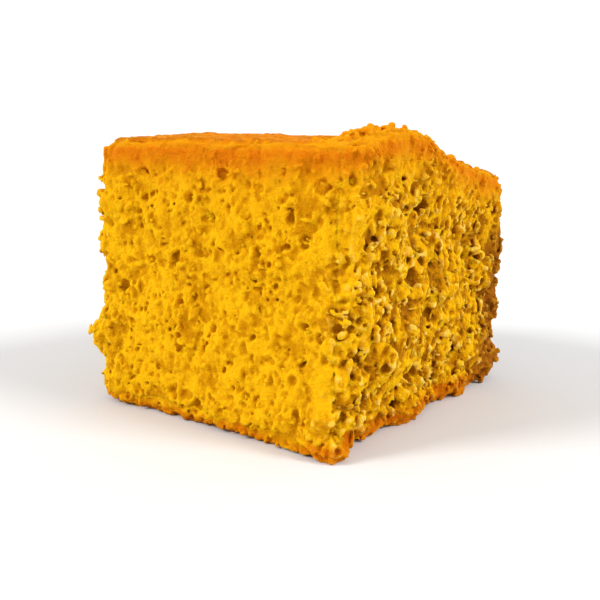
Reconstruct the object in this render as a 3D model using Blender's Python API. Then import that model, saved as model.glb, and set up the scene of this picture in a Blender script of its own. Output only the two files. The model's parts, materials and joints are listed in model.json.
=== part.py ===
"""A hand-cut piece of orange sponge cake, one solid with its crags in relief.

Units are metres and +Z is up. The piece stands on its baked underside with the origin under its middle.
-Y is the front face, cut with a knife. +X and -X are the rougher sides where it was cut and torn from its
neighbours, and +Y is the side that baked against the tin.
"""

import math

import bmesh
import bpy
from mathutils import Vector, noise

# The piece as cut, before its edges are rounded and its faces roughened
WIDTH = 0.0510
DEPTH = 0.0640
HEIGHT = 0.0480

# Rounding of the edges: cut ones, those baked against the tin, and those around the underside
CUT_EDGE_RADIUS = 0.0020
BAKED_EDGE_RADIUS = 0.0050
CUT_BASE_RADIUS = 0.0008
BAKED_BASE_RADIUS = 0.0035

# How far each side's top stands beyond its foot: along +X for the left and right, along +Y for front and tin
LEFT_LEAN = 0.0012
RIGHT_LEAN_FRONT = 0.0036
RIGHT_LEAN_TIN = -0.0004
FRONT_LEAN = 0.0014
TIN_SIDE_LEAN = 0.0016

# The top: a low crown over the front, then a fall towards the tin, and a little less height at the left
CROWN_RISE = 0.0008
CROWN_Y = -0.0140
CROWN_HALF_WIDTH = 0.0128
FALL = 0.0054
FALL_START_Y = -0.0080
LEFT_FALL = 0.0004

# The lip of crust that stands up at the front of the torn right side: centre and half size along X and Y
LIP_RISE = 0.0014
LIP_CENTRE = Vector((0.0230, -0.0175))
LIP_HALF_SIZE = Vector((0.0080, 0.0105))

# Roughness of the faces: how far crags stand out, how wide they are and how much each width counts
TORN_RELIEF = 0.0026
CUT_RELIEF = 0.0012
CRUST_RELIEF = 0.0005
CRAG_WIDTHS = ((0.0095, 0.45), (0.0052, 0.35), (0.0030, 0.20))
CRUST_DEPTH = 0.0030

# Broad hollows and swellings of the torn right side, each as (y, z, radius, how far it stands out)
RIGHT_SWELLS = (
    (-0.0130, 0.0330, 0.0070, -0.0014),
    (0.0140, 0.0300, 0.0080, -0.0012),
    (0.0020, 0.0190, 0.0065, 0.0012),
    (-0.0190, 0.0150, 0.0060, 0.0010),
    (-0.0060, 0.0060, 0.0055, -0.0012),
    (0.0210, 0.0120, 0.0060, 0.0009),
)

# Clumps of crumb that stick out of the front's upright edges, each as (height, radius, how far it stands out)
LEFT_EDGE_CLUMPS = (
    (0.0130, 0.0028, 0.0034),
    (0.0300, 0.0036, 0.0017),
    (0.0385, 0.0050, 0.0009),
)
RIGHT_EDGE_CLUMPS = (
    (0.0010, 0.0055, 0.0017),
)

# The grid that each of the six faces is divided into
FACE_CUTS = 29

# A point this low belongs to the flat underside
ON_BASE = 1e-7

CRUMB_COLOUR = (0.80, 0.37, 0.012, 1.0)
CRUMB_ROUGHNESS = 0.85


def smooth_step(start, end, value):
    """0 before start, 1 after end, and an even S-curve between them."""
    share = min(1.0, max(0.0, (value - start) / (end - start)))
    return share * share * (3.0 - 2.0 * share)


def level_off(start, end, value):
    """0 before start, then a rise that is steepest at start and levels off to 1 at end."""
    share = min(1.0, max(0.0, (value - start) / (end - start)))
    return share * (3.0 - share * share) / 2.0


def blend(first, second, share):
    return first + (second - first) * share


def bump(distance):
    """A round bump of height 1 that has died away at a distance of about 2."""
    return math.exp(-distance * distance)


def clear_scene():
    for obj in list(bpy.data.objects):
        bpy.data.objects.remove(obj)


def cut_block():
    """The block as the knife leaves it: a box in an even grid, standing on z = 0."""
    block = bmesh.new()
    bmesh.ops.create_cube(block, size=1.0)
    bmesh.ops.subdivide_edges(block, edges=block.edges[:], cuts=FACE_CUTS, use_grid_fill=True)
    bmesh.ops.scale(block, vec=(WIDTH, DEPTH, HEIGHT), verts=block.verts[:])
    bmesh.ops.translate(block, vec=(0.0, 0.0, HEIGHT / 2), verts=block.verts[:])
    return block


def round_edges(point):
    """Rounds the block's edges, tightly where it was cut and widely where it baked in the tin."""
    towards_tin = smooth_step(DEPTH / 4, DEPTH / 2, point.y)
    side_radius = blend(CUT_EDGE_RADIUS, BAKED_EDGE_RADIUS, towards_tin)
    base_radius = blend(CUT_BASE_RADIUS, BAKED_BASE_RADIUS, towards_tin)
    upper_half = point.z > HEIGHT / 2
    radii = Vector((side_radius, side_radius, side_radius if upper_half else base_radius))
    middle = Vector((0.0, 0.0, HEIGHT / 2))
    half_size = Vector((WIDTH, DEPTH, HEIGHT)) / 2
    core = Vector()
    outward = Vector()
    for axis in range(3):
        offset = point[axis] - middle[axis]
        reach = half_size[axis] - radii[axis]
        core[axis] = min(reach, max(-reach, offset))
        outward[axis] = (offset - core[axis]) / radii[axis]
    if outward.length > 0.0:
        outward *= max(abs(part) for part in outward) / outward.length
    return middle + core + outward * radii


def top_height(x, y):
    """The height of the baked top over a point of the base."""
    height = HEIGHT + CROWN_RISE * bump((y - CROWN_Y) / CROWN_HALF_WIDTH)
    height -= FALL * level_off(FALL_START_Y, DEPTH / 2, y)
    height -= LEFT_FALL * smooth_step(0.0, WIDTH / 2, -x)
    from_lip = Vector(((x - LIP_CENTRE.x) / LIP_HALF_SIZE.x, (y - LIP_CENTRE.y) / LIP_HALF_SIZE.y))
    return height + LIP_RISE * bump(from_lip.length_squared)


def bake_and_lean(point):
    """Gives the block its uneven top and lets its four sides lean."""
    level = point.z / HEIGHT
    from_left = 0.5 + point.x / WIDTH
    from_front = 0.5 + point.y / DEPTH
    right_lean = blend(RIGHT_LEAN_FRONT, RIGHT_LEAN_TIN, from_front)
    lean_x = blend(LEFT_LEAN, right_lean, from_left)
    lean_y = blend(FRONT_LEAN, TIN_SIDE_LEAN, from_front)
    return Vector((
        point.x + lean_x * level,
        point.y + lean_y * level,
        level * top_height(point.x, point.y),
    ))


def crag(point, normal):
    """Crags all over: deepest on the torn sides, lower on the front, and faint on the baked skin."""
    below_top = top_height(point.x, point.y) - point.z
    in_crumb = smooth_step(0.0, CRUST_DEPTH, below_top)
    torn = TORN_RELIEF * abs(normal.x) * in_crumb
    cut = CUT_RELIEF * max(0.0, -normal.y) * in_crumb
    depth = max(torn, cut, CRUST_RELIEF)
    return depth * sum(share * noise.noise(point / width) for width, share in CRAG_WIDTHS)


def right_swell(point, normal):
    """The broad hollows and swellings of the torn right side."""
    depth = 0.0
    for y, z, radius, outward in RIGHT_SWELLS:
        away = Vector((point.y - y, point.z - z)).length
        depth += outward * bump(away / radius)
    return depth * max(0.0, normal.x)


def edge_clumps(point, edge_x, lean_x, clumps):
    """The clumps of crumb on one of the front's two upright edges."""
    depth = 0.0
    for height, radius, outward in clumps:
        level = height / HEIGHT
        centre = Vector((edge_x + lean_x * level, FRONT_LEAN * level - DEPTH / 2, height))
        depth += outward * bump((point - centre).length / radius)
    return depth


def relief(point, normal):
    """How far the finished surface stands out from the smooth one at a point."""
    height = crag(point, normal) + right_swell(point, normal)
    height += edge_clumps(point, -WIDTH / 2, LEFT_LEAN, LEFT_EDGE_CLUMPS)
    height += edge_clumps(point, WIDTH / 2, RIGHT_LEAN_FRONT, RIGHT_EDGE_CLUMPS)
    return height


def shape_piece(block):
    """Turns the plain block into the baked, cut and torn piece, and keeps its underside flat."""
    for vert in block.verts:
        vert.co = bake_and_lean(round_edges(vert.co))
    block.normal_update()
    base = {vert for vert in block.verts if vert.co.z < ON_BASE}
    moves = [vert.normal * relief(vert.co, vert.normal) for vert in block.verts]
    for vert, move in zip(block.verts, moves):
        vert.co += move
        vert.co.z = 0.0 if vert in base else max(0.0, vert.co.z)


def stand_on_origin(block):
    """Moves the piece so that its box is centred over the origin and stands on z = 0."""
    low = Vector(min(vert.co[axis] for vert in block.verts) for axis in range(3))
    high = Vector(max(vert.co[axis] for vert in block.verts) for axis in range(3))
    middle = (low + high) / 2
    bmesh.ops.translate(block, vec=(-middle.x, -middle.y, -low.z), verts=block.verts[:])


def crumb_material():
    material = bpy.data.materials.new("orange_sponge")
    material.use_nodes = True
    shader = material.node_tree.nodes["Principled BSDF"]
    shader.inputs["Base Color"].default_value = CRUMB_COLOUR
    shader.inputs["Roughness"].default_value = CRUMB_ROUGHNESS
    shader.inputs["Metallic"].default_value = 0.0
    return material


def main():
    clear_scene()
    block = cut_block()
    shape_piece(block)
    stand_on_origin(block)
    bmesh.ops.triangulate(block, faces=block.faces[:])
    mesh = bpy.data.meshes.new("cake_piece")
    block.to_mesh(mesh)
    block.free()
    mesh.shade_smooth()
    mesh.materials.append(crumb_material())
    piece = bpy.data.objects.new("cake_piece", mesh)
    collection = bpy.data.collections.new("orange_cake")
    bpy.context.scene.collection.children.link(collection)
    collection.objects.link(piece)


main()
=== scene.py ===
"""The looks of one knife-cut piece of orange sponge cake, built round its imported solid.

The sponge is grown as a field of pores, clumps and grains on the CAD solid and meshed in closed
sectors, because torn sponge has undercuts that no primitive or displacement gives. Its baked crust is
the same sponge, closed and browned. The clinging crumbs and the stage are modelled with operators
and modifiers.
"""

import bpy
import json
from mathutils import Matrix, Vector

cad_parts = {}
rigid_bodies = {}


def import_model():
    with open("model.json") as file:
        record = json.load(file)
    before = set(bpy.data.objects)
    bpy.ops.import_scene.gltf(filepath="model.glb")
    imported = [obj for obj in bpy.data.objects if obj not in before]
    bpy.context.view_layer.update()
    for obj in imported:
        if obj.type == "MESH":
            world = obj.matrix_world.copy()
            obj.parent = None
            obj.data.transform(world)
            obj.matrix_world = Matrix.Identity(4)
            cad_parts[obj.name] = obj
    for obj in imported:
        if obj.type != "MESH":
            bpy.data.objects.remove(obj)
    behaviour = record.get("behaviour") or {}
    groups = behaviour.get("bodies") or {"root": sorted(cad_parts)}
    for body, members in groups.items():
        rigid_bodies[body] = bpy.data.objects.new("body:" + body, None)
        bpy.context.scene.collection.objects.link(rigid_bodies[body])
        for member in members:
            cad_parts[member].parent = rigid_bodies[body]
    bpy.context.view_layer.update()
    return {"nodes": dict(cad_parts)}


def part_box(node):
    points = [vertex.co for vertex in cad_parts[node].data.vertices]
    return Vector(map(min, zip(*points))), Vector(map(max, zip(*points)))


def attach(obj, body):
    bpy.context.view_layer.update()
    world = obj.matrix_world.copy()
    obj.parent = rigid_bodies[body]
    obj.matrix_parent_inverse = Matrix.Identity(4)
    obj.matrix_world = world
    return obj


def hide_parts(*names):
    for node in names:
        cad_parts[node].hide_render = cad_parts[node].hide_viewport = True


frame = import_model()

import json
import math
from collections import namedtuple

import bpy
import numpy as np
import openvdb
from bpy.props import FloatProperty, FloatVectorProperty, IntProperty, PointerProperty
from mathutils import Quaternion, Vector

bl_info = {
    "name": "Orange sponge cake piece",
    "version": (1, 0, 0),
    "blender": (4, 5, 0),
    "location": "View3D > Sidebar > Cake",
    "description": "Sponge, baked crust, clinging crumbs and stage for a cut piece of cake",
    "category": "Object",
}

SOLID = "cake_piece"
MM = 0.001
BOX_LOW, BOX_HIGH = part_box(SOLID)

# The patch at the top of the torn right side where the crust came away and crumb stands up.
BARE_MIDDLE = Vector((22.0 * MM, -19.0 * MM))
BARE_REACH = Vector((7.0 * MM, 10.0 * MM))

# ---------------------------------------------------------------- settings


def length(name, description, default, **options):
    """A length setting in metres."""
    return FloatProperty(
        name=name, description=description, default=default, min=0.0,
        unit="LENGTH", subtype="DISTANCE", precision=5, **options,
    )


def colour(name, description, default):
    """A linear colour setting."""
    return FloatVectorProperty(
        name=name, description=description, default=default, size=3,
        min=0.0, max=1.0, subtype="COLOR",
    )


class SpongeSettings(bpy.types.PropertyGroup):
    voxel: length("Voxel", "Finest step of the sponge's shape", 0.28 * MM)
    cut_relief: length("Cut relief", "Height of the lumps on the knife-cut face", 0.85 * MM)
    torn_relief: length("Torn relief", "Height of the clumps on the torn sides", 1.6 * MM)
    cut_swell: length("Cut swell", "How far the cut crumb stands out of the solid", 0.1 * MM)
    torn_swell: length("Torn swell", "How far the torn crumb stands out of the solid", 0.7 * MM)
    pore_depth: length("Pore depth", "How far down pores are open", 2.0 * MM)
    calm_depth: length("Calm depth", "How far down from the top the torn crumb is close", 8.0 * MM)
    seed: IntProperty(name="Seed", description="Which sponge of its kind is grown", default=7)


class CrustSettings(bpy.types.PropertyGroup):
    thickness: length("Thickness", "Height of the crust's ragged edge", 0.35 * MM)
    wrinkle: length("Wrinkle", "Height of the crust's swells and wrinkles", 0.40 * MM)
    grain: length("Grain", "Height of the crust's fine grain", 0.20 * MM)
    fringe: length("Fringe", "How far in from a torn edge the crust has come away", 3.0 * MM)


class CrumbSettings(bpy.types.PropertyGroup):
    count: IntProperty(
        name="Count", description="Crumbs that cling to the cake", default=750, min=1
    )
    smallest: length("Smallest", "Width of the smallest crumb", 0.35 * MM)
    largest: length("Largest", "Width of the largest crumb", 1.4 * MM)
    seed: IntProperty(name="Seed", description="How the crumbs fell", default=11)


class ColourSettings(bpy.types.PropertyGroup):
    crumb: colour("Crumb", "Sponge where light falls on it", (0.86, 0.450, 0.003))
    # Painted shade: the darker copy of the crumb colour, laid down in its pits.
    pit_shade: colour("Pore", "Sponge down in its pores", (0.62, 0.260, 0.001))
    # Painted highlight on torn tips and grains.
    tip_highlight: colour("Tip", "Dry tips of torn crumb", (1.00, 0.66, 0.13))
    # Painted shade deep between the torn clumps.
    hollow: colour("Hollow", "Deep between the torn clumps", (0.26, 0.075, 0.002))
    under_crust: colour("Under crust", "Orange band below the top", (0.68, 0.178, 0.002))
    top_crust: colour("Top crust", "Baked top", (0.60, 0.150, 0.001))
    gold_crust: colour("Golden crust", "Lighter patches of the crust", (0.76, 0.245, 0.002))
    tin_crust: colour("Tin crust", "Brown crust against the tin", (0.34, 0.105, 0.005))
    # Real dark specks of the crust, also used as painted shade in the top crust's pits.
    burnt_and_pit_shade: colour("Dark crust", "Darkest specks and pits of the crust", (0.16, 0.040, 0.003))
    floor: colour("Floor", "Pale floor", (0.68, 0.68, 0.68))


class StageSettings(bpy.types.PropertyGroup):
    camera_place: FloatVectorProperty(
        name="Camera place", description="Where the photograph was taken from",
        default=(0.0900, -0.1330, 0.0483), size=3, unit="LENGTH", subtype="TRANSLATION",
    )
    camera_yaw: FloatProperty(
        name="Camera yaw", description="Turn to the left from straight towards the cut face",
        default=math.radians(35.2), unit="ROTATION", subtype="ANGLE",
    )
    camera_dip: FloatProperty(
        name="Camera dip", description="Tilt down from level",
        default=math.radians(10.9), unit="ROTATION", subtype="ANGLE",
    )
    camera_roll: FloatProperty(
        name="Camera roll", description="Roll of the photograph",
        default=math.radians(1.26), unit="ROTATION", subtype="ANGLE",
    )
    lens: FloatProperty(
        name="Lens", description="Focal length, for a 36 mm wide frame", default=50.4, min=1.0
    )
    sky: FloatProperty(name="Sky", description="Strength of the even light", default=0.74, min=0.0)
    key: FloatProperty(name="Key", description="Strength of the key light", default=2.25, min=0.0)
    side: FloatProperty(name="Side", description="Strength of the side light", default=2.1, min=0.0)


class CakeSettings(bpy.types.PropertyGroup):
    sponge: PointerProperty(type=SpongeSettings, name="Sponge", description="The crumb's shape")
    crust: PointerProperty(type=CrustSettings, name="Crust", description="The baked crust")
    crumbs: PointerProperty(type=CrumbSettings, name="Crumbs", description="Clinging crumbs")
    colours: PointerProperty(type=ColourSettings, name="Colours", description="Every colour")
    stage: PointerProperty(type=StageSettings, name="Stage", description="Floor, light, camera")


def settings():
    """This scene's cake settings."""
    return bpy.context.scene.cake_piece


# ---------------------------------------------------------------- objects


def deselect_all():
    """Leave nothing selected, in object mode."""
    bpy.ops.object.select_all(action="DESELECT")


def work_on(piece):
    """Make one object the only one that operators act on."""
    deselect_all()
    piece.select_set(True)
    bpy.context.view_layer.objects.active = piece


def copy_of_solid(name):
    """A merged copy of the CAD solid that is free of the frame."""
    piece = frame["nodes"][SOLID].copy()
    piece.data = piece.data.copy()
    piece.name = name
    piece.data.name = name
    piece.parent = None
    for mark in list(piece.keys()):
        del piece[mark]
    piece.hide_viewport = False
    piece.hide_render = False
    piece.data.materials.clear()
    bpy.context.scene.collection.objects.link(piece)
    piece.hide_set(False)
    work_on(piece)
    bpy.ops.object.mode_set(mode="EDIT")
    bpy.ops.mesh.select_all(action="SELECT")
    bpy.ops.mesh.remove_doubles(threshold=1e-6)
    bpy.ops.mesh.tris_convert_to_quads()
    bpy.ops.object.mode_set(mode="OBJECT")
    return piece


def apply_modifier(piece, kind, **values):
    """Add a modifier to the active piece and apply it."""
    modifier = piece.modifiers.new(kind.lower(), kind)
    for name, value in values.items():
        setattr(modifier, name, value)
    bpy.ops.object.modifier_apply(modifier=modifier.name)


def object_from_faces(name, points, faces):
    """A mesh object from arrays of points and of faces that all have as many corners."""
    mesh = bpy.data.meshes.new(name)
    mesh.vertices.add(len(points))
    mesh.vertices.foreach_set("co", points.astype(np.float32).ravel())
    mesh.loops.add(faces.size)
    mesh.loops.foreach_set("vertex_index", faces.astype(np.int32).ravel())
    mesh.polygons.add(len(faces))
    starts = np.arange(0, faces.size, faces.shape[1], dtype=np.int32)
    mesh.polygons.foreach_set("loop_start", starts)
    mesh.update(calc_edges=True)
    mesh.validate()
    piece = bpy.data.objects.new(name, mesh)
    bpy.context.scene.collection.objects.link(piece)
    return piece


def vertex_places(mesh):
    """An array of the mesh's vertex positions."""
    places = np.empty(len(mesh.vertices) * 3, np.float32)
    mesh.vertices.foreach_get("co", places)
    return places.reshape(-1, 3)


def write_attribute(mesh, name, values):
    """Keep one number for each vertex, for the material to read."""
    attribute = mesh.attributes.new(name, "FLOAT", "POINT")
    attribute.data.foreach_set("value", np.ascontiguousarray(values, dtype=np.float32))


def read_attribute(mesh, name):
    """The numbers that write_attribute kept."""
    values = np.empty(len(mesh.vertices), np.float32)
    mesh.attributes[name].data.foreach_get("value", values)
    return values


def hand_over(piece, material):
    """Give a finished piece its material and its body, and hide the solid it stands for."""
    piece.data.materials.append(material)
    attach(piece, "root")
    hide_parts("cake_piece")


# ---------------------------------------------------------------- the sponge's field


def smooth_step(values, start, end):
    """0 before start, 1 after end, and smooth between."""
    part = np.clip((values - start) / (end - start), 0.0, 1.0)
    return part * part * (3.0 - 2.0 * part)


def rounded_maximum(first, second, radius):
    """The larger of two fields, with the crease between them filleted."""
    overlap = np.clip(radius - np.abs(first - second), 0.0, None) / radius
    return np.maximum(first, second) + overlap * overlap * radius / 4.0


def rounded_minimum(first, second, radius):
    """The smaller of two fields, with the crease between them filleted."""
    return -rounded_maximum(-first, -second, radius)


def spline_weights(count, step, phase):
    """Cubic B-spline weights that spread knots `step` samples apart over `count` samples."""
    at = np.arange(count) / step + phase
    first = np.floor(at).astype(int)
    t = at - first
    blend = (
        (1 - t) ** 3 / 6,
        (3 * t ** 3 - 6 * t ** 2 + 4) / 6,
        (-3 * t ** 3 + 3 * t ** 2 + 3 * t + 1) / 6,
        t ** 3 / 6,
    )
    weights = np.zeros((count, first.max() + 4), np.float32)
    for offset, part in enumerate(blend):
        weights[np.arange(count), first + offset] = part
    return weights


Balls = namedtuple("Balls", "face count narrow wide deep high")

# Uneven balls by face: how many, their least and largest radii, and how far in and out of the rough
# surface they centre. Pores are cut out and grains are added.
PORES = (
    Balls("cut", 1500, 0.24 * MM, 0.55 * MM, 0.00 * MM, 0.42 * MM),
    Balls("cut", 420, 0.50 * MM, 1.05 * MM, -0.15 * MM, 0.95 * MM),
    Balls("cut", 60, 0.90 * MM, 1.60 * MM, -0.30 * MM, 1.30 * MM),
    Balls("torn", 3800, 0.24 * MM, 0.58 * MM, 0.45 * MM, 0.45 * MM),
    Balls("torn", 1100, 0.50 * MM, 1.05 * MM, 0.60 * MM, 0.80 * MM),
    Balls("torn", 90, 1.00 * MM, 1.70 * MM, 0.80 * MM, 1.10 * MM),
    Balls("baked", 6000, 0.15 * MM, 0.38 * MM, 0.00 * MM, 0.30 * MM),
    Balls("baked", 420, 0.38 * MM, 0.85 * MM, 0.00 * MM, 0.65 * MM),
)
GRAINS = (
    Balls("torn", 1500, 0.24 * MM, 0.75 * MM, 0.20 * MM, 0.18 * MM),
    Balls("cut", 2600, 0.24 * MM, 0.60 * MM, 0.30 * MM, 0.05 * MM),
)

# How much thinner than round pores and grains are along an axis: least and most.
PORE_SQUASHES = (0.75, 1.30)
GRAIN_SQUASHES = (0.50, 1.70)

Lumps = namedtuple("Lumps", "kind width share")

# Layers of relief: soft noise or creased clumps, their width, and their share of the face's relief.
# Clumps with a share below 0 stand out of the face, and those above 0 are dents.
CUT_RELIEF = (
    Lumps("clumps", 3.2 * MM, -1.0),
    Lumps("clumps", 1.7 * MM, -0.7),
    Lumps("clumps", 0.9 * MM, -0.3),
)
TORN_RELIEF = (
    Lumps("clumps", 4.5 * MM, -1.0),
    Lumps("clumps", 2.4 * MM, -0.75),
    Lumps("clumps", 1.3 * MM, -0.35),
    Lumps("clumps", 1.1 * MM, 0.30),
)
CRUST_WRINKLES = (
    Lumps("noise", 9.0 * MM, 0.5),
    Lumps("clumps", 3.5 * MM, 0.7),
    Lumps("clumps", 1.8 * MM, -0.5),
)
CRUST_GRAIN = (
    Lumps("clumps", 1.0 * MM, -1.0),
    Lumps("noise", 0.6 * MM, 1.0),
)

Sector = namedtuple("Sector", "name face half triangles")

# The closed sectors that the sponge is meshed in: the face each reaches, which half of its
# height, and the most triangles it keeps.
SECTORS = (
    Sector("cut_crumb", 0, "both", 196000),
    Sector("right_crumb_high", 1, "high", 196000),
    Sector("right_crumb_low", 1, "low", 196000),
    Sector("left_crumb_high", 2, "high", 150000),
    Sector("left_crumb_low", 2, "low", 150000),
    Sector("crust_high", 3, "high", 196000),
    Sector("crust_low", 3, "low", 150000),
)

# How far a sector reaches under the ones before it, so that no seam shows.
LAP = 0.8 * MM


class Sponge:
    """Voxels round the CAD solid, each with its distance outside the sponge's surface."""

    margin = 3.0 * MM
    band_voxels = 12
    far = 2.0 * MM
    warp_reach = 0.9 * MM
    least_mask = 0.3
    pore_fillet = 0.35 * MM
    grain_fillet = 0.15 * MM

    # How squarely a face looks along an axis, as it goes over into cut or torn, and as it swells out.
    face_span = (0.40, 0.80)
    swell_span = (0.75, 0.95)

    # How much cut or torn crumb is near, as crust goes over into crumb.
    baked_span = (0.30, 0.42)

    # How far below the top the crumb goes over from close to porous.
    porous_span = (3.0 * MM, 8.0 * MM)

    # How little sponge is near, as a thread goes over into one too thin to keep.
    thin_reach = 1.2 * MM
    thin_span = (-0.22, -0.10)
    thin_loss = 0.6 * MM

    # How far round a vertex its paint looks.
    close_reach = 1.0 * MM
    deep_reach = 3.0 * MM
    torn_reach = 5.0 * MM

    def __init__(self, solid, voxel, seed):
        self.voxel = voxel
        self.random = np.random.default_rng(seed)
        solid.data.calc_loop_triangles()
        corners = vertex_places(solid.data).astype(np.float64)
        triangles = np.empty(len(solid.data.loop_triangles) * 3, np.int32)
        solid.data.loop_triangles.foreach_get("vertices", triangles)
        self.low = corners.min(axis=0) - self.margin
        reach = corners.max(axis=0) + self.margin - self.low
        self.shape = tuple(int(n) for n in np.ceil(reach / voxel))
        self.transform = openvdb.createLinearTransform(voxelSize=voxel)
        self.transform.postTranslate(self.low)
        level_set = openvdb.FloatGrid.createLevelSetFromPolygons(
            corners,
            triangles=triangles.reshape(-1, 3).astype(np.uint32),
            transform=self.transform,
            halfWidth=self.band_voxels,
        )
        self.solid = np.empty(self.shape, np.float32)
        level_set.copyToArray(self.solid)
        slopes = np.gradient(self.solid, voxel)
        steepness = np.sqrt(sum(slope * slope for slope in slopes)) + 1e-6
        self.facing = [slope / steepness for slope in slopes]
        self.warp = [
            self.noise(1.7 * MM) * 0.55 * MM
            + self.noise(0.8 * MM) * 0.32 * MM
            + self.noise(0.5 * MM) * 0.12 * MM
            for _ in range(3)
        ]

    def axes(self):
        """The places of the voxels along x, y and z, shaped so that they fill a block."""
        lines = [
            (low + np.arange(count) * self.voxel).astype(np.float32)
            for low, count in zip(self.low, self.shape)
        ]
        return np.meshgrid(*lines, indexing="ij", sparse=True)

    def noise(self, width):
        """Smooth noise, about -1 to 1, in lumps about `width` across."""
        spans = [
            spline_weights(count, width / self.voxel, self.random.random()) for count in self.shape
        ]
        knots = [span.shape[1] for span in spans]
        field = self.random.uniform(-1.9, 1.9, knots).astype(np.float32)
        for span in reversed(spans):
            field = np.tensordot(span, field, (1, 2))
        return field

    def clumps(self, width):
        """Rounded lumps about `width` across that meet in sharp creases, about -0.3 to 0.7."""
        return np.abs(self.noise(width)) - 0.3

    def blurred(self, values, reach):
        """The values averaged over what lies within about `reach`."""
        steps = max(1, round(0.5 * reach / self.voxel))
        for _ in range(2):
            for axis in range(3):
                line = np.moveaxis(values, axis, 0)
                line = np.pad(line, [(steps + 1, steps), (0, 0), (0, 0)])
                total = np.cumsum(line, axis=0, dtype=np.float32)
                width = 2 * steps + 1
                values = np.moveaxis((total[width:] - total[:-width]) / width, 0, axis)
        return np.ascontiguousarray(values)

    def centres(self, balls, mask):
        """Random voxel places where the mask holds, near the rough surface."""
        near = (self.surface > -balls.deep) & (self.surface < balls.high) & (mask > self.least_mask)
        picks = self.random.choice(np.flatnonzero(near), balls.count, replace=False)
        places = np.stack(np.unravel_index(picks, self.shape), axis=1)
        return places + self.random.random((balls.count, 3))

    def add_balls(self, field, balls, mask, squashes):
        """Lower a field to its distance from many balls, squashed and made uneven by the warp."""
        centres = self.centres(balls, mask)
        spread = self.random.random(balls.count) ** 2
        radii = balls.narrow + (balls.wide - balls.narrow) * spread
        squash = self.random.uniform(*squashes, (balls.count, 3))
        limits = np.array(self.shape)
        for centre, radius, scale in zip(centres, radii, squash):
            reach = int((radius + self.warp_reach) / self.voxel) + 1
            start = np.maximum(centre.astype(int) - reach, 0)
            stop = np.minimum(centre.astype(int) + reach + 1, limits)
            block = tuple(slice(a, b) for a, b in zip(start, stop))
            steps = np.ogrid[block]
            squares = 0.0
            for axis in range(3):
                offset = (steps[axis] - centre[axis]) * self.voxel + self.warp[axis][block]
                squares = squares + (offset * scale[axis]) ** 2
            field[block] = np.minimum(field[block], np.sqrt(squares) - radius)

    def relief(self, layers, height, start=0.0):
        """Layers of lumps, each with its share of a height, added to a start."""
        total = start
        for layer in layers:
            lumps = self.noise(layer.width) if layer.kind == "noise" else self.clumps(layer.width)
            total = total + lumps * height * layer.share
        return total

    def grow(self, values, crust):
        """Turn the smooth solid into sponge: rough it, open its pores and add its grains."""
        self.top = self.reach_along(2)
        self.tin = self.reach_along(1)
        self.seam = self.noise(4.0 * MM) * 0.8 * MM
        self.find_faces(values, crust)
        self.rough(values, crust)
        hollow = np.minimum(-self.open_pores(), self.surface + values.pore_depth)
        self.add_grains()
        field = rounded_maximum(self.surface, hollow, self.pore_fillet)
        field = rounded_minimum(field, self.grains, self.grain_fillet)
        flakes = self.noise(0.55 * MM) * 0.15 * MM - self.clumps(0.8 * MM) * 0.18 * MM
        field = field + (1.0 - self.baked) * (1.0 - 0.5 * self.cut) * flakes
        near = self.blurred(self.filled(field), self.thin_reach)
        field = field + smooth_step(-near, *self.thin_span) * self.thin_loss
        self.field = np.maximum(field, -self.axes()[2])
        self.close = self.blurred(self.filled(self.field), self.close_reach)
        self.deep = self.blurred(self.filled(self.field), self.deep_reach)
        self.torn = self.blurred(self.masks["torn"], self.torn_reach)

    def find_faces(self, values, crust):
        """Find how cut, torn and baked each voxel is, with ragged borders between them."""
        face_x, face_y, _ = self.facing
        drift = self.noise(4.0 * MM) * 0.12
        self.below = self.top[:, :, None] - self.axes()[2] + self.noise(6.0 * MM) * 2.0 * MM
        calm = smooth_step(-self.below, -1.3 * values.calm_depth, -0.7 * values.calm_depth)
        self.bare = self.bare_top(drift)
        self.cut = smooth_step(-face_y - drift, *self.face_span)
        sides = smooth_step(np.abs(face_x) + drift, *self.face_span)
        edge = self.blurred(np.maximum(np.maximum(self.cut, sides), self.bare), crust.fringe)
        edge = edge + self.noise(3.0 * MM) * 0.16 + self.noise(1.2 * MM) * 0.10
        self.baked = 1.0 - smooth_step(edge, *self.baked_span)
        self.sides = np.maximum(sides, 0.55 * (1.0 - self.baked) * (1.0 - self.cut))
        self.masks = {
            "cut": np.maximum(self.cut, self.sides * calm),
            "torn": self.sides * (1.0 - 0.8 * calm),
            "baked": self.baked,
        }

    def rough(self, values, crust):
        """Swell and roughen the smooth solid's surface, each face in its own way."""
        face_x, face_y, _ = self.facing
        cut_rough = self.relief(CUT_RELIEF, values.cut_relief, self.noise(6.0 * MM) * 0.4 * MM)
        torn_rough = self.relief(TORN_RELIEF, values.torn_relief, self.noise(7.0 * MM) * MM)
        crust_rough = self.relief(CRUST_WRINKLES, crust.wrinkle)
        crust_rough = self.relief(CRUST_GRAIN, crust.grain, crust_rough)
        swell = (
            smooth_step(-face_y, *self.swell_span) * values.cut_swell
            + smooth_step(np.abs(face_x), *self.swell_span) * values.torn_swell
        )
        self.surface = (
            self.solid - swell + (1.0 - self.baked) * crust.thickness
            + self.masks["cut"] * (1.0 - 0.5 * self.sides) * cut_rough
            + self.masks["torn"] * (1.0 - 0.6 * self.cut) * torn_rough
            + self.baked * crust_rough
        )

    def open_pores(self):
        """The distance from the nearest pore, of which few are close under the top."""
        porous = np.maximum(smooth_step(self.below, *self.porous_span), 0.8 * self.bare)
        masks = {**self.masks, "cut": self.masks["cut"] * (0.2 + 0.8 * porous)}
        distance = np.full(self.shape, self.far, np.float32)
        for balls in PORES:
            self.add_balls(distance, balls, masks[balls.face], PORE_SQUASHES)
        return distance

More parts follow.
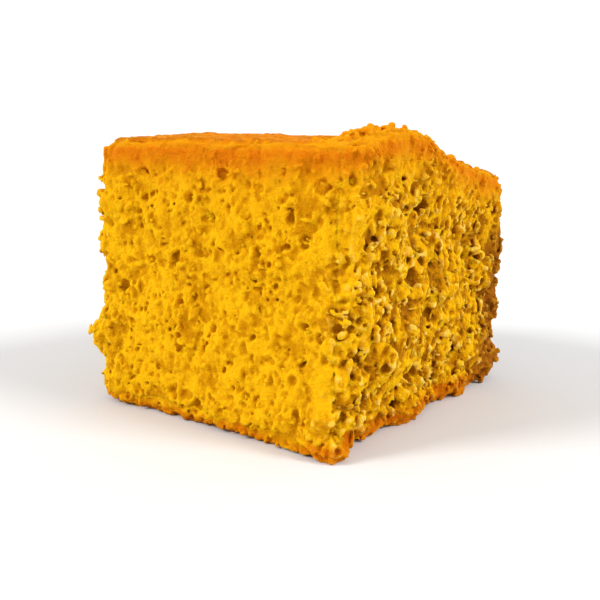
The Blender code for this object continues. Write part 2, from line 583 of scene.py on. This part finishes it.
    def add_grains(self):
        """Keep the distance from the nearest grain, of which none are on the crust."""
        self.grains = np.full(self.shape, self.far, np.float32)
        for balls in GRAINS:
            mask = self.masks[balls.face] * (1.0 - self.baked)
            self.add_balls(self.grains, balls, mask, GRAIN_SQUASHES)

    def filled(self, field):
        """1 in sponge and 0 in air."""
        return np.clip(0.5 - field / self.voxel, 0.0, 1.0)

    def bare_top(self, drift):
        """1 over the patch of the top that lost its crust, above the torn corner."""
        x, y, z = self.axes()
        squares = ((x - BARE_MIDDLE.x) / BARE_REACH.x) ** 2 + ((y - BARE_MIDDLE.y) / BARE_REACH.y) ** 2
        high = (z > 0.75 * BOX_HIGH.z).astype(np.float32)
        ragged = 5.0 * drift + 0.3 * self.noise(2.0 * MM)
        return smooth_step(1.3 - squares + ragged, 0.0, 0.5) * high

    def lapped(self, field, past):
        """A field that ends a little past a seam, where it lies under its neighbour."""
        field = field + smooth_step(past, 0.0, LAP / 2) * 0.15 * MM
        return np.maximum(field, past - LAP)

    def sector_field(self, sector):
        """The field of one closed sector."""
        x, y, z = self.axes()
        middle = BOX_HIGH.z / 2
        depths = (
            y - BOX_LOW.y,
            BOX_HIGH.x - x,
            x - BOX_LOW.x,
            np.minimum(middle - np.abs(z - middle), BOX_HIGH.y - y),
        )
        own = depths[sector.face]
        field = self.field
        for face, depth in enumerate(depths):
            if face < sector.face:
                field = self.lapped(field, (own - depth) * 0.7 + self.seam)
            elif face > sector.face:
                field = np.maximum(field, (own - depth) * 0.7 - self.seam)
        if sector.half == "high":
            field = np.maximum(field, middle - z + self.seam)
        elif sector.half == "low":
            field = self.lapped(field, z - middle - self.seam)
        return field

    def mesh(self, sector):
        """The points and faces of one sector's surface, where its field is zero."""
        grid = openvdb.FloatGrid(self.margin)
        grid.gridClass = openvdb.GridClass.LEVEL_SET
        field = np.clip(self.sector_field(sector), -self.margin, self.margin)
        grid.copyFromArray(field.astype(np.float32))
        grid.transform = self.transform
        points, quads = grid.convertToQuads(isovalue=0.0)
        return points, quads[:, ::-1]

    def reach_along(self, axis):
        """For each row of voxels along an axis, where the baked face is; other rows copy its rim."""
        inside = self.solid < 0.0
        last = self.shape[axis] - 1 - np.argmax(np.flip(inside, axis), axis)
        ends = last * self.voxel + self.low[axis]
        looks = np.take_along_axis(self.facing[axis], np.expand_dims(last, axis), axis)
        known = inside.any(axis) & (looks.squeeze(axis) > 0.8)
        while not known.all():
            total = np.zeros_like(ends)
            votes = np.zeros_like(ends)
            for side in (0, 1):
                for step in (-1, 1):
                    total += np.roll(np.where(known, ends, 0.0), step, side)
                    votes += np.roll(known, step, side)
            rim = ~known & (votes > 0)
            ends[rim] = total[rim] / votes[rim]
            known = known | rim
        return ends

    def sampled(self, field, places):
        """A field's values at places between its voxels."""
        cells = np.clip((places - self.low) / self.voxel, 0, np.array(self.shape) - 1.001)
        base = cells.astype(int)
        part = (cells - base).astype(np.float32)
        total = 0.0
        for corner in np.ndindex(2, 2, 2):
            weight = np.prod(np.where(corner, part, 1.0 - part), axis=1)
            i, j, k = (base + corner).T
            total = total + weight * field[i, j, k]
        return total

    def paint(self, mesh):
        """Write how hollow, torn and baked each vertex is."""
        places = vertex_places(mesh)
        cells = np.round((places - self.low) / self.voxel).astype(int)
        i, j, k = np.clip(cells, 0, np.array(self.shape) - 1).T
        # close and deep say how much sponge lies round a vertex; the material paints shade in pits and
        # hollows and highlights on tips from them.
        write_attribute(mesh, "close", self.sampled(self.close, places))
        write_attribute(mesh, "deep", self.sampled(self.deep, places))
        write_attribute(mesh, "torn", self.sampled(self.torn, places))
        write_attribute(mesh, "baked", self.sampled(self.baked, places))
        # Grains get a painted highlight from this mark.
        near = smooth_step(-self.sampled(self.grains, places), -0.25 * MM, -0.05 * MM)
        write_attribute(mesh, "grain", near)
        write_attribute(mesh, "under_top", self.top[i, j] - places[:, 2])
        write_attribute(mesh, "under_tin", self.tin[i, k] - places[:, 1])


# ---------------------------------------------------------------- materials

# Where the sponge's colours change, as spans of the painted numbers. Fill is 0.5 on a flat, more in a
# pit and less on a tip. The pit, hollow and recess spans place painted shade, and the grain and tip
# spans place painted highlights.
PIT_SHADE_FILL = (0.42, 0.70)
HOLLOW_SHADE_FILL = (0.44, 0.66)
GRAIN_HIGHLIGHT_FILL = (0.56, 0.32)
TIP_HIGHLIGHT_FILL = (0.40, 0.24)
RECESS_SHADE_FILL = (0.28, 0.52)
CRUST_PIT_FILL = (0.53, 0.68)
TOASTED_FILL = (0.50, 0.38)

# Depths below the top and in from the tin, and heights above the foot, over which colours change.
BAND_DEPTHS = (7.0 * MM, 1.0 * MM)
GLOW_DEPTHS = (16.0 * MM, 3.0 * MM)
SKIN_DEPTHS = (0.2 * MM, 1.6 * MM)
TIN_DEPTHS = (2.0 * MM, -4.0 * MM)
TIN_CRUST_DEPTHS = (4.5 * MM, 0.0)
FOOT_HEIGHTS = (3.0 * MM, 0.4 * MM)
FOOT_CRUST_HEIGHTS = (3.5 * MM, 0.5 * MM)

# How far in from the tin the crumb is brown, at the top and at the foot.
TIN_REACHES = (4.0 * MM, 12.0 * MM)
TIN_REACH_HEIGHTS = (0.9 * BOX_HIGH.z, 0.1 * BOX_HIGH.z)

# Spans of patterns: where torn tips get a painted highlight, and where the crust's mottling goes over
# from top crust to gold, from tin crust to gold, and to burnt.
TIP_HIGHLIGHT_PATCHES = (-0.06, 0.10)
GOLD_MOTTLE = (0.2, 0.8)
TIN_GOLD_MOTTLE = (0.55, 0.95)
BURNT_MOTTLE = (0.45, 0.15)

# Roughness of the crumb and of the crust.
ROUGHNESSES = (0.85, 0.62)


def put(tree, socket, value):
    """Link a socket to a socket, or set it to a value."""
    if isinstance(value, bpy.types.NodeSocket):
        tree.links.new(value, socket)
    else:
        socket.default_value = value


def node(tree, kind, inputs=(), output=0, **values):
    """Add a shader node and return one of its outputs."""
    made = tree.nodes.new(kind)
    for name, value in values.items():
        setattr(made, name, value)
    for name, value in dict(inputs).items():
        put(tree, made.inputs[name], value)
    return made.outputs[output]


def ramp(tree, value, span, low=0.0, high=1.0):
    """Ease from low to high as the value goes from the span's start to its end."""
    inputs = {"Value": value, 1: span[0], 2: span[1], 3: low, 4: high}
    return node(tree, "ShaderNodeMapRange", inputs, interpolation_type="SMOOTHSTEP")


def combine(tree, operation, first, second):
    """A math node."""
    return node(tree, "ShaderNodeMath", {0: first, 1: second}, operation=operation)


def mix(tree, amount, first, second):
    """Blend two colours."""
    inputs = {0: amount, 6: first, 7: second}
    return node(tree, "ShaderNodeMix", inputs, output=2, data_type="RGBA")


def attribute(tree, name):
    """A number that each vertex keeps."""
    return node(tree, "ShaderNodeAttribute", output="Fac", attribute_name=name)


def opaque(rgb):
    """A colour property as the four numbers that a socket takes."""
    return (*rgb, 1.0)


def new_material(name):
    """A material, its node tree and its Principled shader."""
    material = bpy.data.materials.new(name)
    material.use_nodes = True
    return material, material.node_tree, material.node_tree.nodes["Principled BSDF"]


def pattern(tree, place, width, detail=2.0):
    """Noise in lumps about `width` across, about -0.5 to 0.5."""
    inputs = {"Vector": place, "Scale": 1.0 / width, "Detail": detail, "Roughness": 0.6}
    value = node(tree, "ShaderNodeTexNoise", inputs)
    return combine(tree, "SUBTRACT", value, 0.5)


def add(tree, first, pattern_value, amount):
    """A value with some of a pattern added."""
    return combine(tree, "ADD", first, combine(tree, "MULTIPLY", pattern_value, amount))


def crumb_colour(tree, place, height):
    """Yellow crumb with painted ochre shade in its pits and hollows and a painted highlight on torn
    tips, orange and brown near the crusts.
    """
    colours = settings().colours
    close = attribute(tree, "close")
    torn = attribute(tree, "torn")
    wide = pattern(tree, place, 5.0 * MM, 3.0)
    fine = pattern(tree, place, 0.9 * MM, 3.0)
    # Painted shade: pits go over to the darker pit colour, and the torn sides a little more than the
    # cut face.
    pit = add(tree, add(tree, close, wide, 1.05), fine, 0.30)
    pit = ramp(tree, add(tree, pit, torn, 0.11), PIT_SHADE_FILL)
    rgb = mix(tree, pit, opaque(colours.crumb), opaque(colours.pit_shade))
    # Painted shade: the torn sides' deep hollows go dark.
    hollow = add(tree, add(tree, attribute(tree, "deep"), wide, 0.70), fine, 0.25)
    hollow = combine(tree, "MULTIPLY", torn, ramp(tree, hollow, HOLLOW_SHADE_FILL, 0.0, 0.85))
    rgb = mix(tree, hollow, rgb, opaque(colours.hollow))
    # Painted highlight on torn tips and grains.
    tip_highlight = combine(tree, "MULTIPLY", torn, tips(tree, place, close))
    rgb = mix(tree, tip_highlight, rgb, opaque(colours.tip_highlight))
    stray = add(tree, combine(tree, "MULTIPLY", wide, 9.0 * MM), fine, 3.0 * MM)
    rgb = mix(tree, orange_band(tree, torn, stray, fine), rgb, opaque(colours.under_crust))
    # Painted shade: the real brown at the foot and the tin is laid full in recesses and at three
    # quarters on tips.
    shade_in_recesses = ramp(tree, close, RECESS_SHADE_FILL, 0.75, 1.0)
    foot = add(tree, height, stray, 0.6)
    foot = combine(tree, "SUBTRACT", foot, combine(tree, "MULTIPLY", torn, 2.0 * MM))
    foot = combine(tree, "MULTIPLY", ramp(tree, foot, FOOT_HEIGHTS), shade_in_recesses)
    rgb = mix(tree, foot, rgb, opaque(colours.top_crust))
    reach = ramp(tree, height, TIN_REACH_HEIGHTS, *TIN_REACHES)
    behind = combine(tree, "SUBTRACT", attribute(tree, "under_tin"), reach)
    behind = ramp(tree, combine(tree, "ADD", behind, stray), TIN_DEPTHS)
    return mix(tree, combine(tree, "MULTIPLY", behind, shade_in_recesses), rgb, opaque(colours.tin_crust))


def tips(tree, place, close):
    """Painted highlight: how far grains and thin threads are pale, in patches."""
    grain = combine(tree, "MULTIPLY", attribute(tree, "grain"), ramp(tree, close, GRAIN_HIGHLIGHT_FILL, 0.0, 0.5))
    tip_highlight = combine(tree, "MAXIMUM", grain, ramp(tree, close, TIP_HIGHLIGHT_FILL))
    patches = ramp(tree, pattern(tree, place, 1.4 * MM), TIP_HIGHLIGHT_PATCHES)
    return combine(tree, "MULTIPLY", combine(tree, "MULTIPLY", tip_highlight, patches), 0.9)


def orange_band(tree, torn, stray, fine):
    """How orange the crumb is below the top: less where it is torn or opened at the very top."""
    under_top = attribute(tree, "under_top")
    thinner = combine(tree, "MULTIPLY", torn, 4.0 * MM)
    below = combine(tree, "ADD", combine(tree, "ADD", under_top, thinner), stray)
    band = combine(tree, "MULTIPLY", ramp(tree, below, BAND_DEPTHS), 0.8)
    band = combine(tree, "ADD", band, ramp(tree, below, GLOW_DEPTHS, 0.0, 0.2))
    opened = ramp(tree, add(tree, under_top, fine, 2.0 * MM), SKIN_DEPTHS, 0.6, 1.0)
    return combine(tree, "MULTIPLY", band, opened)


def crust_colour(tree, place, height):
    """Baked crust: mottled orange-brown on top with painted shade in its pits, browner at the tin and
    underneath.
    """
    colours = settings().colours
    wide = pattern(tree, place, 9.0 * MM, 3.0)
    medium = pattern(tree, place, 2.0 * MM, 4.0)
    fine = pattern(tree, place, 0.6 * MM, 3.0)
    close = attribute(tree, "close")
    mottle = add(tree, add(tree, add(tree, 0.50, wide, 1.2), medium, 1.0), fine, 0.6)
    gold = opaque(colours.gold_crust)
    rgb = mix(tree, ramp(tree, mottle, GOLD_MOTTLE), opaque(colours.top_crust), gold)
    toasted = add(tree, add(tree, close, medium, 0.30), wide, -0.40)
    toasted = ramp(tree, toasted, TOASTED_FILL, 0.0, 0.6)
    rgb = mix(tree, toasted, rgb, opaque(colours.tin_crust))
    tin = ramp(tree, add(tree, attribute(tree, "under_tin"), medium, 6.0 * MM), TIN_CRUST_DEPTHS)
    foot = ramp(tree, add(tree, height, medium, 4.0 * MM), FOOT_CRUST_HEIGHTS)
    browned = combine(tree, "MAXIMUM", tin, foot)
    brown = mix(tree, ramp(tree, mottle, TIN_GOLD_MOTTLE), opaque(colours.tin_crust), gold)
    dark = add(tree, add(tree, 0.5, wide, 0.8), medium, 1.0)
    brown = mix(tree, ramp(tree, dark, BURNT_MOTTLE, 0.0, 0.5), brown, opaque(colours.burnt_and_pit_shade))
    rgb = mix(tree, browned, rgb, brown)
    # Pits of the top crust go dark: painted shade. At the tin and underneath they show orange crumb
    # where the crust broke open.
    pit = ramp(tree, add(tree, close, fine, 0.20), CRUST_PIT_FILL, 0.0, 0.8)
    pit_colour = mix(tree, browned, opaque(colours.burnt_and_pit_shade), opaque(colours.under_crust))
    return mix(tree, pit, rgb, pit_colour)


def sponge_material():
    """Sponge that goes over into its crust where the baked attribute says so."""
    material, tree, shader = new_material("cake_sponge")
    place = node(tree, "ShaderNodeTexCoord", output="Object")
    height = node(tree, "ShaderNodeSeparateXYZ", {0: place}, output="Z")
    baked = attribute(tree, "baked")
    crumb = crumb_colour(tree, place, height)
    crust = crust_colour(tree, place, height)
    put(tree, shader.inputs["Base Color"], mix(tree, baked, crumb, crust))
    put(tree, shader.inputs["Roughness"], ramp(tree, baked, (0.0, 1.0), *ROUGHNESSES))
    shader.inputs["Specular IOR Level"].default_value = 0.03
    shader.inputs["Subsurface Weight"].default_value = 0.45
    shader.inputs["Subsurface Radius"].default_value = (1.0, 0.7, 0.3)
    shader.inputs["Subsurface Scale"].default_value = 1.0 * MM
    grain = add(tree, pattern(tree, place, 0.4 * MM, 3.0), pattern(tree, place, 1.0 * MM, 3.0), 0.8)
    bump = {"Height": grain, "Distance": 0.8 * MM, "Strength": 0.85}
    put(tree, shader.inputs["Normal"], node(tree, "ShaderNodeBump", bump))
    return material


# ---------------------------------------------------------------- operators


class CAKE_OT_sponge_body(bpy.types.Operator):
    """Grow the sponge and its baked crust on the CAD solid"""

    bl_idname = "cake.sponge_body"
    bl_label = "Sponge and crust"

    def execute(self, context):
        cake = settings()
        core = copy_of_solid("core")
        sponge = Sponge(core, cake.sponge.voxel, cake.sponge.seed)
        bpy.data.objects.remove(core)
        sponge.grow(cake.sponge, cake.crust)
        material = sponge_material()
        for part in SECTORS:
            sector = object_from_faces(part.name, *sponge.mesh(part))
            if len(sector.data.polygons) == 0:
                raise RuntimeError(f"{part.name} has no surface")
            work_on(sector)
            self.keep_outer_shell(sector)
            share = part.triangles / (2 * len(sector.data.polygons))
            if share < 1.0:
                apply_modifier(sector, "DECIMATE", ratio=share)
            sector.data.shade_smooth()
            sponge.paint(sector.data)
            hand_over(sector, material)
        return {"FINISHED"}

    def keep_outer_shell(self, sector):
        """Delete sealed bubbles and loose grains: all that isn't joined to the wall inside."""
        bpy.ops.object.mode_set(mode="EDIT")
        bpy.ops.mesh.select_mode(type="VERT")
        bpy.ops.mesh.select_all(action="DESELECT")
        bpy.ops.object.mode_set(mode="OBJECT")
        count = len(sector.data.vertices)
        middle = np.array((BOX_LOW + BOX_HIGH) / 2)
        distances = np.linalg.norm(vertex_places(sector.data) - middle, axis=1)
        sector.data.vertices[int(distances.argmin())].select = True
        bpy.ops.object.mode_set(mode="EDIT")
        bpy.ops.mesh.select_linked()
        bpy.ops.mesh.select_all(action="INVERT")
        bpy.ops.mesh.delete(type="VERT")
        bpy.ops.object.mode_set(mode="OBJECT")
        if len(sector.data.vertices) < count / 2:
            raise RuntimeError("the sponge's outer shell was lost")


class CAKE_OT_clinging_crumbs(bpy.types.Operator):
    """Stick crumbs to the torn sides and to the foot of the cut"""

    bl_idname = "cake.clinging_crumbs"
    bl_label = "Clinging crumbs"

    kinds = 8
    stretches = (0.45, 1.25)
    lift = 0.05
    lump_height = 1.5
    jitter = 0.17
    kept_share = 0.8

    def execute(self, context):
        values = settings().crumbs
        rng = np.random.default_rng(values.seed)
        meshes = [bpy.data.objects[part.name].data for part in SECTORS if part.face < 3]
        hosts = [self.host_faces(mesh) for mesh in meshes]
        hosts = {key: np.concatenate([host[key] for host in hosts]) for key in hosts[0]}
        shapes = [self.crumb_shape(kind) for kind in range(self.kinds)]
        picks = self.pick_faces(hosts, values.count, rng)
        spread = rng.random(values.count) ** 3
        widths = values.smallest + (values.largest - values.smallest) * spread
        points, triangles, kept, start = [], [], [], 0
        for face, width in zip(picks, widths):
            shape_points, shape_triangles = shapes[rng.integers(self.kinds)]
            turn = Quaternion(rng.normal(size=4)).normalized().to_matrix()
            stretch = np.diag(rng.uniform(*self.stretches, 3)) * width
            place = hosts["centre"][face] + hosts["normal"][face] * (self.lift * width)
            points.append(shape_points @ stretch @ np.array(turn).T + place)
            triangles.append(shape_triangles + start)
            kept.append(np.full(len(shape_points), face))
            start += len(shape_points)
        crumbs = object_from_faces("clinging_crumbs", np.concatenate(points), np.concatenate(triangles))
        kept = np.concatenate(kept)
        for name in ("torn", "baked", "under_top", "under_tin"):
            write_attribute(crumbs.data, name, hosts[name][kept])
        # These set how much painted pit shade, hollow shade and tip highlight the crumbs get.
        write_attribute(crumbs.data, "close", 0.35 + 0.20 * hosts["close"][kept])
        write_attribute(crumbs.data, "deep", np.full(len(kept), 0.40))
        write_attribute(crumbs.data, "grain", np.full(len(kept), 1.0))
        crumbs.data.shade_smooth()
        hand_over(crumbs, bpy.data.materials["cake_sponge"])
        return {"FINISHED"}

    def crumb_shape(self, kind):
        """One uneven crumb about 1 m across, as points and triangles."""
        deselect_all()
        bpy.ops.mesh.primitive_ico_sphere_add(subdivisions=2, radius=0.5)
        crumb = bpy.context.object
        lumps = bpy.data.textures.new("crumb_lumps", "CLOUDS")
        lumps.noise_scale = 0.30 + 0.04 * kind
        lumps.noise_depth = 1
        apply_modifier(crumb, "DISPLACE", texture=lumps, strength=self.lump_height, mid_level=0.5)
        bpy.data.textures.remove(lumps)
        bpy.ops.object.mode_set(mode="EDIT")
        bpy.ops.transform.vertex_random(offset=self.jitter, seed=kind)
        bpy.ops.object.mode_set(mode="OBJECT")
        apply_modifier(crumb, "DECIMATE", ratio=self.kept_share)
        crumb.data.calc_loop_triangles()
        triangles = np.empty(len(crumb.data.loop_triangles) * 3, np.int32)
        crumb.data.loop_triangles.foreach_get("vertices", triangles)
        points = vertex_places(crumb.data).copy()
        bpy.data.objects.remove(crumb)
        return points, triangles.reshape(-1, 3)

    def host_faces(self, mesh):
        """Arrays of a mesh's face middles, normals and areas, and of the paint at each face."""
        count = len(mesh.polygons)
        arrays = {}
        for key, name, size in (("centre", "center", 3), ("normal", "normal", 3), ("area", "area", 1)):
            values = np.empty(count * size, np.float32)
            mesh.polygons.foreach_get(name, values)
            arrays[key] = values.reshape(count, size) if size > 1 else values
        corners = np.empty(len(mesh.loops), np.int32)
        mesh.loops.foreach_get("vertex_index", corners)
        starts = np.empty(count, np.int32)
        mesh.polygons.foreach_get("loop_start", starts)
        for name in ("torn", "baked", "close", "deep", "under_top", "under_tin"):
            arrays[name] = read_attribute(mesh, name)[corners[starts]]
        return arrays

    def pick_faces(self, hosts, count, rng):
        """Faces to stick crumbs on, mostly torn and towards the foot, and none inside."""
        height = hosts["centre"][:, 2]
        low = 1.0 - height / BOX_HIGH.z
        foot = smooth_step(-height, -7.0 * MM, -1.0 * MM)
        front = smooth_step(-hosts["centre"][:, 1], 0.40 * -BOX_LOW.y, 0.80 * -BOX_LOW.y)
        weight = hosts["area"] * (hosts["torn"] * (0.5 + low) + 0.05 + 0.5 * foot * front)
        weight = weight * smooth_step(-hosts["deep"], -0.85, -0.60) * (height > 0.8 * MM)
        weight = weight * (1.0 - hosts["baked"]) ** 2
        return rng.choice(len(weight), count, replace=False, p=weight / weight.sum())


class CAKE_OT_stage(bpy.types.Operator):
    """Set up the floor, the lights and the camera"""

    bl_idname = "cake.stage"
    bl_label = "Stage"

    floor_drop = 0.05 * MM
    flat_radius = 0.5
    curve_radius = 4.0
    curve_end = math.radians(45.0)
    curve_steps = 16
    key_place = (-0.30, -0.45, 0.40)
    side_place = (0.40, 0.10, 0.35)
    light_angle = math.radians(20.0)

    def execute(self, context):
        values = settings().stage
        self.make_floor()
        self.make_sky(context.scene, values.sky)
        self.make_sun("key_light", self.key_place, values.key)
        self.make_sun("side_light", self.side_place, values.side)
        self.make_camera(context.scene, values)
        context.scene.view_settings.view_transform = "Standard"
        return {"FINISHED"}

    def make_floor(self):
        """A round floor whose rim curves up all round, so that no horizon shows."""
        deselect_all()
        bpy.ops.mesh.primitive_circle_add(
            vertices=96,
            radius=self.flat_radius,
            fill_type="NGON",
            location=(0.0, 0.0, -self.floor_drop),
        )
        floor = bpy.context.object
        floor.name = "floor"
        bpy.ops.object.transform_apply(location=True, rotation=True, scale=True)
        bpy.ops.object.mode_set(mode="EDIT")
        bpy.ops.mesh.select_mode(type="EDGE")
        bpy.ops.mesh.select_all(action="SELECT")
        bpy.ops.mesh.region_to_loop()
        radius = self.flat_radius
        turn = self.curve_end / self.curve_steps
        for step in range(self.curve_steps):
            out = self.curve_radius * (math.sin((step + 1) * turn) - math.sin(step * turn))
            up = self.curve_radius * (math.cos(step * turn) - math.cos((step + 1) * turn))
            bpy.ops.mesh.extrude_region_move(TRANSFORM_OT_translate={"value": (0.0, 0.0, up)})
            widen = (radius + out) / radius
            bpy.ops.transform.resize(value=(widen, widen, 1.0), center_override=(0.0, 0.0, 0.0))
            radius += out
        bpy.ops.object.mode_set(mode="OBJECT")
        bpy.ops.object.shade_smooth()
        material, _, shader = new_material("pale_floor")
        shader.inputs["Base Color"].default_value = opaque(settings().colours.floor)
        shader.inputs["Roughness"].default_value = 0.9
        floor.data.materials.append(material)

    def make_sky(self, scene, strength):
        """An even white world."""
        world = bpy.data.worlds.new("even_light")
        world.use_nodes = True
        background = world.node_tree.nodes["Background"]
        background.inputs["Color"].default_value = (1.0, 1.0, 1.0, 1.0)
        background.inputs["Strength"].default_value = strength
        scene.world = world

    def make_sun(self, name, place, strength):
        """A wide, soft sun that shines from a place towards the middle of the cake."""
        deselect_all()
        bpy.ops.object.light_add(type="SUN", location=place)
        light = bpy.context.object
        light.name = name
        light.data.angle = self.light_angle
        light.data.energy = strength
        middle = (BOX_LOW + BOX_HIGH) / 2
        light.rotation_euler = (middle - Vector(place)).to_track_quat("-Z", "Y").to_euler()

    def make_camera(self, scene, values):
        """The camera that took the photograph."""
        deselect_all()
        bpy.ops.object.camera_add(location=values.camera_place)
        camera = bpy.context.object
        camera.name = "photo_camera"
        ahead = Vector((
            -math.sin(values.camera_yaw) * math.cos(values.camera_dip),
            math.cos(values.camera_yaw) * math.cos(values.camera_dip),
            -math.sin(values.camera_dip),
        ))
        roll = Quaternion((0.0, 0.0, 1.0), values.camera_roll)
        camera.rotation_euler = (ahead.to_track_quat("-Z", "Y") @ roll).to_euler()
        camera.data.sensor_width = 36.0
        camera.data.lens = values.lens
        camera.data.clip_start = 1.0 * MM
        scene.camera = camera


class CAKE_PT_panel(bpy.types.Panel):
    """The cake's pieces and their settings"""

    bl_idname = "CAKE_PT_panel"
    bl_label = "Orange sponge cake"
    bl_space_type = "VIEW_3D"
    bl_region_type = "UI"
    bl_category = "Cake"

    def draw(self, context):
        cake = settings()
        parts = (
            ("cake.sponge_body", cake.sponge),
            ("cake.clinging_crumbs", cake.crumbs),
            ("cake.stage", cake.stage),
        )
        for operator, group in parts:
            box = self.layout.box()
            box.operator(operator)
            for name in group.__annotations__:
                box.prop(group, name)
        for group in (cake.crust, cake.colours):
            box = self.layout.box()
            for name in group.__annotations__:
                box.prop(group, name)


CLASSES = (
    SpongeSettings,
    CrustSettings,
    CrumbSettings,
    ColourSettings,
    StageSettings,
    CakeSettings,
    CAKE_OT_sponge_body,
    CAKE_OT_clinging_crumbs,
    CAKE_OT_stage,
    CAKE_PT_panel,
)


def register():
    """Add the classes and the scene's settings."""
    for item in CLASSES:
        bpy.utils.register_class(item)
    bpy.types.Scene.cake_piece = PointerProperty(type=CakeSettings)


def unregister():
    """Take away what register added."""
    del bpy.types.Scene.cake_piece
    for item in reversed(CLASSES):
        bpy.utils.unregister_class(item)


def main():
    """Build every piece and the stage."""
    register()
    bpy.ops.cake.sponge_body()
    bpy.ops.cake.clinging_crumbs()
    bpy.ops.cake.stage()


if __name__ == "__main__":
    main()
